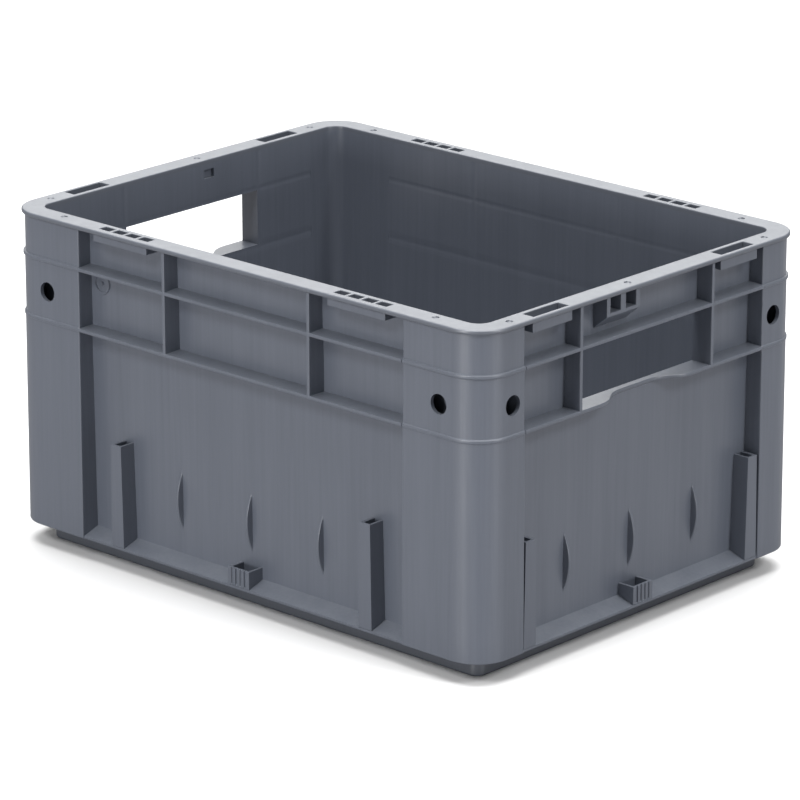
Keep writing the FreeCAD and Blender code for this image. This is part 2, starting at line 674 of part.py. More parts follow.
def build_members():
    """All members of the crate. A turn of 0 faces +Y, and -90 faces +X."""
    members = [rim_frame(), floor_panel(), base_tray()]
    posts = (("back_right", 0, 1), ("front_left", 180, 1),
             ("front_right", 0, -1), ("back_left", 180, -1))
    for name, turn, hand in posts:
        members.append(corner_post("corner_post_" + name, turn, hand))
    for name, turn in (("back", 0), ("front", 180)):
        members.append(long_wall("long_wall_" + name, turn))
        members.append(ledge_block("ledge_block_" + name, turn, "width / 2"))
        for side, sign in (("a", "-"), ("b", "")):
            members.append(ledge_piece(
                f"buttress_{name}_{side}", turn, "width / 2", sign + BUTTRESS_LONG,
                "buttress_tip_width", "buttress_base_width", "buttress_top", "buttress_wall"))
            members.append(well(
                f"slot_well_{name}_{side}", turn, "width / 2", sign + SLOT_GROUP,
                f"({SLOTS - 1} * slot_pitch + slot_length)", "slot_inset", "slot_width",
                "slot_well_drop"))
    for name, turn in (("right", -90), ("left", 90)):
        members.append(end_panel("end_panel_" + name, turn))
        members.append(end_rail("end_rail_" + name, turn))
        members.append(label_holder("label_holder_" + name, turn))
        members.append(ledge_block("ledge_block_" + name, turn, "length / 2"))
        for side, sign in (("a", "-"), ("b", "")):
            members.append(end_jamb(f"end_jamb_{name}_{side}", turn, -1 if sign else 1))
            members.append(ledge_piece(
                f"buttress_{name}_{side}", turn, "length / 2", sign + BUTTRESS_SHORT,
                "buttress_tip_width", "buttress_base_width", "buttress_top", "buttress_wall"))
            members.append(well(
                f"pocket_well_{name}_{side}", turn, "length / 2", sign + POCKET_MIDDLE,
                "pocket_length", "pocket_inset", "pocket_width", "pocket_well_drop"))
    return members


def check(members):
    """Stop when any object has failed, or a member isn't one valid solid."""
    for item in doc.Objects:
        if "Invalid" in item.State or "Error" in item.State:
            raise RuntimeError(f"{item.Label}: {item.State}")
    for member in members:
        shape = member.Shape
        if shape.isNull() or not shape.isValid() or len(shape.Solids) != 1:
            raise RuntimeError(f"{member.Label} isn't one valid solid")


members = build_members()
doc.recompute()
check(members)
os.makedirs("parts", exist_ok=True)
for member in members:
    member.Shape.exportStep(f"parts/{member.Label}.step")
    box = member.Shape.BoundBox
    print(f"{member.Label:28s} volume {member.Shape.Volume:10.1f}  "
          f"X {box.XMin:7.1f} {box.XMax:7.1f}  Y {box.YMin:7.1f} {box.YMax:7.1f}  "
          f"Z {box.ZMin:6.1f} {box.ZMax:6.1f}")
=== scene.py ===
"""A stacking crate of satin grey plastic: thin ribbed walls, hollow posts, a rim and a foot."""
import logging
import math
from dataclasses import dataclass
from enum import Enum

import bpy
import numpy as np
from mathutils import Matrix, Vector


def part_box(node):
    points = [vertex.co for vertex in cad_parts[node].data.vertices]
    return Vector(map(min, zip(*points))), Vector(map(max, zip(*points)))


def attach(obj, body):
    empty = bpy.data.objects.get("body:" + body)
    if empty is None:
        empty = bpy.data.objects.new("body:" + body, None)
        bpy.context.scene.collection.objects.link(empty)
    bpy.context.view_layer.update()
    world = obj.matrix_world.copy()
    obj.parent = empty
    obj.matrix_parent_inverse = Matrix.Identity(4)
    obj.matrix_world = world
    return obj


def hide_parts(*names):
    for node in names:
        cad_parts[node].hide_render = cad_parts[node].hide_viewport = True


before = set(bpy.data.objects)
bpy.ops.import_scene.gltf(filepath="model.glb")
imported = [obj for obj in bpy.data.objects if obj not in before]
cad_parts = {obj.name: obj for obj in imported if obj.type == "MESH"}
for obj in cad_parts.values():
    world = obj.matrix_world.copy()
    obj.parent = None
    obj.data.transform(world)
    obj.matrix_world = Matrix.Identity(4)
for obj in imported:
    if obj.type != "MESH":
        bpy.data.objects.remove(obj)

LOG = logging.getLogger("stacking_crate")
ARC_STEPS = 4           # segments across one rounded edge
FLANK = 0.0003          # run of a rib's drafted side, seen from its front
SNUG = 0.0004           # a grid line this far inside a rounded edge keeps flat faces flat
MARGIN = 4e-5           # marks nearer than this to a grid's ends are left out
NEAREST = 2e-5          # marks nearer than this to the one before are left out
BEND_REACH = 1.8        # where the bend round a hole or mark ends, in radii
SMOOTH_LIMIT = math.radians(35.0)
ROUNDING_LIMIT = math.radians(40.0)
WELD_DISTANCE = 1e-6
WHITE = (1.0, 1.0, 1.0, 1.0)

Array = np.ndarray
Colour = tuple[float, float, float]
# The date stamp's profile from its middle to its edge: a pin, a flat ring and a raised border.
STAMP_RINGS = np.array([0.0, 0.14, 0.2, 0.5, 0.76, 0.82, 0.95, 1.0])
STAMP_HEIGHTS = np.array([1.0, 1.0, 0.0, 0.0, 0.0, 1.0, 1.0, 0.0])
STAMP_PLACE = 0.1267    # along the front side, from its middle
STAMP_DROP = 0.0082     # below the upper rib's underside


class Side(Enum):
    """The crate's sides, with the turn about Z that takes +Y to each side's outward direction."""

    BACK = 0.0
    RIGHT = -90.0
    FRONT = 180.0
    LEFT = 90.0


@dataclass(frozen=True)
class CrateSizes:
    """Sizes of the whole crate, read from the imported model."""

    half_x: float
    half_y: float
    top: float
    wall_top: float
    foot_top: float
    floor_top: float
    post_x: float
    post_y: float
    rib_face: float
    upper_rib_under: float
    lower_rib_top: float
    grip_half: float

    def upper_rib(self, form: "Moulding") -> tuple[float, float]:
        """Underside and top of the upper level rib's front."""
        return self.upper_rib_under, self.upper_rib_under + form.rib_tip

    def lower_rib(self, form: "Moulding") -> tuple[float, float]:
        """Underside and top of the lower level rib's front."""
        return self.lower_rib_top - form.rib_tip, self.lower_rib_top

    def straight_runs(self, form: "Moulding") -> tuple[float, float]:
        """Lengths of the rim's straight stretches, long and short."""
        return (2 * (self.half_x - form.corner_radius), 2 * (self.half_y - form.corner_radius))

    @classmethod
    def from_frame(cls) -> "CrateSizes":
        """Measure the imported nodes.

        Returns:
            The sizes, in metres.
        """
        rim_low, rim_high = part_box("rim_frame")
        post_low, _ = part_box("corner_post_back_right")
        rail_low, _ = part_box("end_rail_right")
        panel_low, panel_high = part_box("end_panel_right")
        jamb_low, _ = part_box("end_jamb_right_a")
        return cls(
            half_x=rim_high.x, half_y=rim_high.y, top=rim_high.z, wall_top=rim_low.z,
            foot_top=panel_low.z, floor_top=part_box("floor_panel")[1].z,
            post_x=post_low.x, post_y=post_low.y, rib_face=rim_high.x - panel_high.x,
            upper_rib_under=rail_low.z, lower_rib_top=panel_high.z, grip_half=jamb_low.y)


@dataclass(frozen=True)
class Moulding:
    """Sizes that every wall and post of the moulding shares, in metres."""

    corner_radius: float = 0.024
    recess: float = 0.0125
    draft: float = 0.0018
    wall: float = 0.0025
    face: float = 0.0016
    rib_tip: float = 0.0022
    rib_drop: float = 0.0008
    rib_root: float = 0.0006
    seat: float = 0.0017
    fillet: float = 0.003
    edge: float = 0.0005
    stud: float = 0.0024
    hole_radius: float = 0.00625
    hole_drop: float = 0.0492


def middle_of(node: str) -> Vector:
    """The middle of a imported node's box."""
    low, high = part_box(node)
    return (Vector(low) + Vector(high)) / 2


# ---------------------------------------------------------------- surfaces worked out as arrays

def arc_marks(edges: Array, inwards: Array, radius: float) -> Array:
    """Grid lines for drafted flanks and rounded edges.

    A line lies at the flank's foot, at the edge, at equal angles over the rounding, where the
    distance from the edge is the radius times one minus the angle's cosine, and a little inside.

    Args:
        edges: Places of the edges.
        inwards: +1 or -1 for each edge, the direction in which its raised form lies.
        radius: Radius of the rounded edges.

    Returns:
        The lines' places, unsorted.
    """
    angle = np.linspace(0.0, math.pi / 2, ARC_STEPS + 1)
    steps = np.concatenate([[-FLANK], radius * (1 - np.cos(angle)), [radius + SNUG]])
    return (np.asarray(edges)[:, None] + np.asarray(inwards)[:, None] * steps).ravel()


def box_marks(low: float, high: float, radius: float) -> Array:
    """Grid lines for both edges of one raised form, from low to high."""
    return arc_marks(np.array([low, high]), np.array([1.0, -1.0]), radius)


def grid_lines(start: float, stop: float, marks: Array, spacing: float) -> Array:
    """All marks between start and stop, and even lines wherever marks lie far apart.

    Args:
        start: First line.
        stop: Last line.
        marks: Lines that have to be there.
        spacing: Largest step between neighbours.

    Returns:
        The lines in rising order.
    """
    inside = np.sort(marks[(marks > start + MARGIN) & (marks < stop - MARGIN)])
    inside = inside[np.diff(inside, prepend=-1.0) > NEAREST]
    knots = np.concatenate([[start], inside, [stop]])
    counts = np.maximum(np.ceil(np.diff(knots) / spacing), 1).astype(int)
    first = np.repeat(knots[:-1], counts)
    step = np.repeat(np.diff(knots) / counts, counts)
    order = np.arange(counts.sum()) - np.repeat(np.cumsum(counts) - counts, counts)
    return np.append(first + order * step, stop)


def inside_box(s: Array, z: Array, s_range: tuple[float, float],
               z_range: tuple[float, float]) -> Array:
    """How far each point lies inside a rectangle: the least of its four edge distances."""
    across = np.minimum(s - s_range[0], s_range[1] - s)
    along = np.minimum(z - z_range[0], z_range[1] - z)
    return np.minimum(across, along)


def raised(distance: Array, height: Array | float, base: Array, radius: float,
           flank: float = FLANK) -> Array:
    """Depth of a raised form with a rounded edge and a drafted flank.

    Inside the edge the depth follows a quarter circle up to the height. Outside it the depth
    falls in a straight line from the circle's foot to the base.

    Args:
        distance: How far each point lies inside the form's edge, negative outside.
        height: Depth of the form's front.
        base: Depth of the surface that it stands on.
        radius: Radius of the edge.
        flank: Run of the flank.

    Returns:
        The depth at each point.
    """
    inner = np.clip(distance, 0.0, radius)
    crown = height - radius + np.sqrt(radius ** 2 - (radius - inner) ** 2)
    fall = np.clip(-distance / flank, 0.0, 1.0)
    return np.where(distance >= 0, crown, (1 - fall) * (height - radius) + fall * base)


def round_patch(s: Array, z: Array, centre: tuple[float, float], radius: float,
                reach: float = BEND_REACH) -> tuple[Array, Array, Array]:
    """Bend square rings of grid lines into circles round a centre.

    A point's square distance is the larger of its two offsets. Up to the radius the point is
    moved to the same distance measured round the centre, and the move fades out at the reach.

    Args:
        s: First parameter.
        z: Second parameter.
        centre: The circle's centre.
        radius: The circle's radius.
        reach: Where the bend ends, in radii.

    Returns:
        Both parameters after the move, and the square distance from the centre.
    """
    ds, dz = s - centre[0], z - centre[1]
    square = np.maximum(np.abs(ds), np.abs(dz))
    true = np.maximum(np.hypot(ds, dz), 1e-9)
    fade = np.clip((reach * radius - square) / ((reach - 1) * radius), 0.0, 1.0)
    scale = 1 + fade * (square / true - 1)
    return centre[0] + ds * scale, centre[1] + dz * scale, square


def ring_marks(centre: float, radius: float, count: int = 6, reach: float = BEND_REACH) -> Array:
    """Grid lines over a round patch, with one on each side at the radius."""
    inner = np.linspace(-1.0, 1.0, 2 * count + 1)
    outer = np.linspace(1.0, reach, max(2, count - 1))[1:]
    return centre + radius * np.concatenate([inner, outer, -outer])


def turned(points: Array, side: Side) -> Array:
    """Turn points about Z from the back side's frame to another side's."""
    angle = math.radians(side.value)
    cosine, sine = math.cos(angle), math.sin(angle)
    x = points[..., 0] * cosine - points[..., 1] * sine
    y = points[..., 0] * sine + points[..., 1] * cosine
    return np.stack([x, y, points[..., 2]], axis=-1)


def edge_quads(kept: Array, first: Array, second: Array, third: Array, fourth: Array) -> Array:
    """Faces from four index grids, where kept is true."""
    return np.stack([first[kept], second[kept], third[kept], fourth[kept]], axis=-1)


def shell(outer: Array, inner: Array, keep: Array | None = None,
          ring: bool = False) -> tuple[Array, Array]:
    """The closed solid between two grids of points.

    Kept cells get one face outside and one inside, and every edge between a kept cell and a
    missing one is closed by a face from the outer grid to the inner grid.

    Args:
        outer: Points of the outer surface, rows by columns by three.
        inner: Points of the inner surface, the same shape.
        keep: True for each cell that is there; all of them if left out.
        ring: Whether the last row joins the first one.

    Returns:
        Vertices and four-sided faces.
    """
    rows, columns = outer.shape[:2]
    index = np.arange(rows * columns).reshape(rows, columns)
    if ring:
        index = np.vstack([index, index[:1]])
    if keep is None:
        keep = np.ones((index.shape[0] - 1, columns - 1), bool)
    low, high = index, index + rows * columns
    a, b, c, d = index[:-1, :-1], index[:-1, 1:], index[1:, 1:], index[1:, :-1]
    offset = rows * columns
    faces = [edge_quads(keep, a, b, c, d),
             edge_quads(keep, d + offset, c + offset, b + offset, a + offset)]
    before = np.vstack([keep[-1:] if ring else np.zeros((1, columns - 1), bool), keep])
    after = np.vstack([keep, keep[:1] if ring else np.zeros((1, columns - 1), bool)])
    if ring:
        before, after = before[:-1], after[:-1]
    lines = before.shape[0]
    start, end = low[:lines, :-1], low[:lines, 1:]
    start_in, end_in = high[:lines, :-1], high[:lines, 1:]
    faces.append(edge_quads(after & ~before, start, start_in, end_in, end))
    faces.append(edge_quads(before & ~after, end, end_in, start_in, start))
    side = np.zeros((keep.shape[0], 1), bool)
    before, after = np.hstack([side, keep]), np.hstack([keep, side])
    start, end = low[:-1], low[1:]
    start_in, end_in = high[:-1], high[1:]
    faces.append(edge_quads(after & ~before, start, end, end_in, start_in))
    faces.append(edge_quads(before & ~after, start_in, end_in, end, start))
    faces = np.concatenate(faces)
    points = np.concatenate([outer.reshape(-1, 3), inner.reshape(-1, 3)])
    used, faces = np.unique(faces, return_inverse=True)
    return points[used], faces.reshape(-1, 4)


def new_piece(name: str, parts: list[tuple[Array, Array]]) -> bpy.types.Object:
    """Make one object from closed solids, smooth except at sharp edges.

    Args:
        name: The piece's name.
        parts: Vertices and four-sided faces of each solid.

    Returns:
        The new object, linked to the scene.
    """
    starts = np.cumsum([0] + [len(points) for points, _ in parts[:-1]])
    points = np.concatenate([points for points, _ in parts])
    faces = np.concatenate([faces + start for (_, faces), start in zip(parts, starts)])
    mesh = bpy.data.meshes.new(name)
    mesh.vertices.add(len(points))
    mesh.vertices.foreach_set("co", points.astype(np.float32).ravel())
    mesh.loops.add(faces.size)
    mesh.loops.foreach_set("vertex_index", faces.astype(np.int32).ravel())
    mesh.polygons.add(len(faces))
    mesh.polygons.foreach_set("loop_start", np.arange(0, faces.size, 4, dtype=np.int32))
    mesh.update(calc_edges=True)
    mesh.validate()
    mesh.shade_smooth()
    mesh.set_sharp_from_angle(angle=SMOOTH_LIMIT)
    piece = bpy.data.objects.new(name, mesh)
    bpy.context.scene.collection.objects.link(piece)
    normals = piece.modifiers.new("face_weighted_normals", "WEIGHTED_NORMAL")
    normals.mode = "FACE_AREA"
    normals.keep_sharp = True
    return piece


# ---------------------------------------------------------------- finishes

class Canvas:
    """Adds and links nodes in one shader tree."""

    def __init__(self, tree: bpy.types.NodeTree) -> None:
        """Start with an empty tree."""
        self.tree = tree
        tree.nodes.clear()

    def add(self, kind: str, **settings: object) -> bpy.types.Node:
        """Add a node and set its properties."""
        node = self.tree.nodes.new(kind)
        for name, value in settings.items():
            setattr(node, name, value)
        return node

    def feed(self, socket: bpy.types.NodeSocket, value: object) -> None:
        """Link a socket, or set the input to a plain value."""
        if isinstance(value, bpy.types.NodeSocket):
            self.tree.links.new(value, socket)
        else:
            socket.default_value = value

    def calc(self, operation: str, *values: object, clamp: bool = False) -> bpy.types.NodeSocket:
        """One Math node.

        Args:
            operation: The node's operation.
            values: Its inputs, sockets or numbers.
            clamp: Whether the result stays between 0 and 1.

        Returns:
            The result's socket.
        """
        node = self.add("ShaderNodeMath", operation=operation, use_clamp=clamp)
        for socket, value in zip(node.inputs, values):
            self.feed(socket, value)
        return node.outputs[0]

    def blend(self, factor: object, first: object, second: object) -> bpy.types.NodeSocket:
        """Mix two colours by a factor."""
        node = self.add("ShaderNodeMix", data_type="RGBA")
        for socket, value in zip((node.inputs[0], node.inputs[6], node.inputs[7]),
                                 (factor, first, second)):
            self.feed(socket, value)
        return node.outputs[2]

    def noise(self, vector: object, scale: object, detail: float,
              roughness: float = 0.5) -> bpy.types.NodeSocket:
        """A noise texture's value."""
        node = self.add("ShaderNodeTexNoise")
        self.feed(node.inputs["Vector"], vector)
        self.feed(node.inputs["Scale"], scale)
        node.inputs["Detail"].default_value = detail
        node.inputs["Roughness"].default_value = roughness
        return node.outputs[0]

    def spread(self, value: object, low: float, high: float) -> bpy.types.NodeSocket:
        """Stretch the range from low to high over 0 to 1, and clamp it."""
        node = self.add("ShaderNodeMapRange", clamp=True)
        self.feed(node.inputs["Value"], value)
        node.inputs["From Min"].default_value = low
        node.inputs["From Max"].default_value = high
        return node.outputs[0]


def new_group(name: str, inputs: dict[str, tuple[str, object]],
              outputs: tuple[str, ...]) -> tuple[Canvas, bpy.types.Node, bpy.types.Node]:
    """Start a shader node group with named sockets.

    Args:
        name: The group's name.
        inputs: Socket type and default of each input; the default may be None.
        outputs: Names of the float outputs.

    Returns:
        The canvas, the group's input node and its output node.
    """
    tree = bpy.data.node_groups.new(name, "ShaderNodeTree")
    for label, (kind, default) in inputs.items():
        socket = tree.interface.new_socket(label, in_out="INPUT", socket_type=kind)
        if default is not None:
            socket.default_value = default
    for label in outputs:
        tree.interface.new_socket(label, in_out="OUTPUT", socket_type="NodeSocketFloat")
    canvas = Canvas(tree)
    return canvas, canvas.add("NodeGroupInput"), canvas.add("NodeGroupOutput")


def mould_streak_group() -> bpy.types.NodeTree:
    """Upright streaks that the flow of the melt and the tool's polish leave in the walls."""
    canvas, source, result = new_group(
        "mould_streaks",
        {"Vector": ("NodeSocketVector", None), "Scale": ("NodeSocketFloat", 400.0),
         "Stretch": ("NodeSocketFloat", 0.03)}, ("Mask",))
    squeeze = canvas.add("ShaderNodeVectorMath", operation="MULTIPLY")
    combine = canvas.add("ShaderNodeCombineXYZ")
    combine.inputs[0].default_value = 1.0
    combine.inputs[1].default_value = 1.0
    canvas.feed(combine.inputs[2], source.outputs["Stretch"])
    canvas.feed(squeeze.inputs[0], source.outputs["Vector"])
    canvas.feed(squeeze.inputs[1], combine.outputs[0])
    fine = canvas.noise(squeeze.outputs[0], source.outputs["Scale"], 4.0, 0.6)
    broad = canvas.noise(squeeze.outputs[0], canvas.calc(
        "MULTIPLY", source.outputs["Scale"], 0.12), 2.0)
    mixed = canvas.calc("ADD", canvas.calc("MULTIPLY", fine, 0.6),
                        canvas.calc("MULTIPLY", broad, 0.4))
    canvas.feed(result.inputs["Mask"], canvas.spread(mixed, 0.35, 0.65))
    return canvas.tree


def satin_grain_group() -> bpy.types.NodeTree:
    """The fine grain of a spark-eroded mould surface."""
    canvas, source, result = new_group(
        "satin_grain",
        {"Vector": ("NodeSocketVector", None), "Scale": ("NodeSocketFloat", 1800.0)},
        ("Height",))
    fine = canvas.noise(source.outputs["Vector"], source.outputs["Scale"], 3.0, 0.55)
    canvas.feed(result.inputs["Height"], fine)
    return canvas.tree


def dust_and_top_light_group() -> bpy.types.NodeTree:
    """Pale dust and scuffs that gather on surfaces which face up, and painted top light: the same
    pale mask lightens the tops for the overhead light that falls on them.
    """
    canvas, source, result = new_group(
        "dust_and_top_light_mask",
        {"Vector": ("NodeSocketVector", None), "Amount": ("NodeSocketFloat", 0.2)}, ("Mask",))
    geometry = canvas.add("ShaderNodeNewGeometry")
    parts = canvas.add("ShaderNodeSeparateXYZ")
    canvas.feed(parts.inputs[0], geometry.outputs["Normal"])
    # Upward faces turn pale: partly settled dust, partly a painted highlight on the tops.
    facing_up = canvas.spread(parts.outputs[2], 0.5, 0.95)
    patches = canvas.spread(canvas.noise(source.outputs["Vector"], 60.0, 4.0, 0.65), 0.35, 0.75)
    amount = canvas.calc("MULTIPLY", facing_up, source.outputs["Amount"])
    canvas.feed(result.inputs["Mask"], canvas.calc(
        "MULTIPLY", amount, canvas.calc("ADD", canvas.calc("MULTIPLY", patches, 0.6), 0.4)))
    return canvas.tree


def sink_mark_group() -> bpy.types.NodeTree:
    """Faint hollows and waves in a wall, where the melt shrank behind its ribs."""
    canvas, source, result = new_group(
        "sink_marks", {"Vector": ("NodeSocketVector", None),
                       "Scale": ("NodeSocketFloat", 14.0)}, ("Height",))
    canvas.feed(result.inputs["Height"],
                canvas.noise(source.outputs["Vector"], source.outputs["Scale"], 1.0, 0.4))
    return canvas.tree


@dataclass(frozen=True)
class SatinPlastic:
    """A moulded polypropylene with a satin mould finish."""

    name: str
    colour: Colour
    light: Colour
    # Pale colour for faces that point up: partly settled dust, partly a painted highlight standing
    # in for the light on the tops.
    dust_and_top_light: Colour = (0.42, 0.44, 0.47)
    roughness: float = 0.4
    polish: float = 0.5
    polish_roughness: float = 0.3
    refraction: float = 1.49
    specular: float = 0.9
    streak_gloss: float = -0.08
    streak_base: float = 0.04
    dust_dullness: float = 0.3
    streaks: float = 0.5
    streak_scale: float = 420.0
    dust_and_top_light_amount: float = 0.15
    grain_depth: float = 0.00003
    sink_depth: float = 0.0012

    def build(self, groups: dict[str, bpy.types.NodeTree]) -> bpy.types.Material:
        """Make the material.

        Args:
            groups: The shared shader groups by name.

        Returns:
            The material.
        """
        material = bpy.data.materials.new(self.name)
        material.use_nodes = True
        canvas = Canvas(material.node_tree)
        output = canvas.add("ShaderNodeOutputMaterial")
        shader = canvas.add("ShaderNodeBsdfPrincipled")
        canvas.feed(output.inputs["Surface"], shader.outputs[0])
        place = canvas.add("ShaderNodeTexCoord").outputs["Object"]

        def effect(name: str, **values: float) -> bpy.types.NodeSocket:
            """Place one shared effect with its own values."""
            node = canvas.add("ShaderNodeGroup", node_tree=groups[name])
            canvas.feed(node.inputs["Vector"], place)
            for label, value in values.items():
                node.inputs[label].default_value = value
            return node.outputs[0]

        streak = effect("mould_streaks", Scale=self.streak_scale)
        # Mask of upward faces: dust, and painted top light.
        dust_and_top_light = effect("dust_and_top_light_mask", Amount=self.dust_and_top_light_amount)
        grain = effect("satin_grain")
        sink = effect("sink_marks")
        tone = canvas.calc("MULTIPLY", streak, self.streaks)
        plastic = canvas.blend(tone, (*self.colour, 1.0), (*self.light, 1.0))
        # The streaked plastic turns pale on upward faces, as dust and as a painted highlight.
        canvas.feed(shader.inputs["Base Color"],
                    canvas.blend(dust_and_top_light, plastic, (*self.dust_and_top_light, 1.0)))
        rough = canvas.calc("ADD", canvas.calc("MULTIPLY", streak, self.streak_gloss),
                            self.roughness + self.streak_base)
        dull = canvas.calc("MULTIPLY", dust_and_top_light, self.dust_dullness)
        rough = canvas.calc("ADD", rough, dull, clamp=True)
        canvas.feed(shader.inputs["Roughness"], rough)
        height = canvas.calc("ADD", canvas.calc("MULTIPLY", grain, self.grain_depth),
                             canvas.calc("MULTIPLY", sink, self.sink_depth))
        height = canvas.calc("ADD", height,
                             canvas.calc("MULTIPLY", streak, 0.5 * self.grain_depth))
        bump = canvas.add("ShaderNodeBump")
        bump.inputs["Strength"].default_value = 1.0
        bump.inputs["Distance"].default_value = 1.0
        canvas.feed(bump.inputs["Height"], height)
        canvas.feed(shader.inputs["Normal"], bump.outputs[0])
        shader.inputs["IOR"].default_value = self.refraction
        shader.inputs["Specular IOR Level"].default_value = self.specular
        shader.inputs["Coat Weight"].default_value = self.polish
        shader.inputs["Coat Roughness"].default_value = self.polish_roughness
        return material


class Finishes:
    """All finishes of the crate, built once."""

    slate: Colour = (0.106, 0.120, 0.152)
    pale_slate: Colour = (0.146, 0.162, 0.197)

    def __init__(self) -> None:
        """Build the shared groups and the materials."""
        groups = {tree.name: tree for tree in (
            mould_streak_group(), satin_grain_group(), dust_and_top_light_group(),
            sink_mark_group())}
        self.wall = SatinPlastic(
            "satin_wall_plastic", self.slate, self.pale_slate).build(groups)
        # The rim's larger pale amount is painted highlight as well as dust: it lightens the rim's
        # top for the light that falls on it.
        self.rim = SatinPlastic(
            "rim_plastic", (0.110, 0.122, 0.148), (0.148, 0.162, 0.190), streaks=0.25,
            streak_scale=180.0, dust_and_top_light_amount=0.3, sink_depth=0.0004).build(groups)
        self.small = SatinPlastic(
            "rib_plastic", self.slate, self.pale_slate, streaks=0.3,
            sink_depth=0.0).build(groups)
        # Darker colour for the base tray and the floor panel: painted shade, standing in for the
        # shadow that falls on the recessed foot.
        self.base = SatinPlastic(
            "base_plastic_painted_shade", (0.085, 0.095, 0.118), (0.115, 0.127, 0.152), roughness=0.5,
            streaks=0.3, dust_and_top_light_amount=0.1, sink_depth=0.0006).build(groups)


# ---------------------------------------------------------------- sub-assemblies

class Member:
    """A group of pieces that rides on the crate's one rigid body."""

    slot = "moulded_plastic"

    def dress(self, piece: bpy.types.Object, material: bpy.types.Material,
              *nodes: str) -> bpy.types.Object:
        """Give a piece its finish, its body and the nodes that it stands for.

        Args:
            piece: The new piece.
            material: Its finish.
            nodes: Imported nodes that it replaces.

        Returns:
            The same piece.
        """
        piece.data.materials.append(material)
        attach(piece, "root")
        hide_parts(*nodes)
        LOG.info("%s: %d faces, stands for %s", piece.name, len(piece.data.polygons),
                 ", ".join(nodes))
        return piece


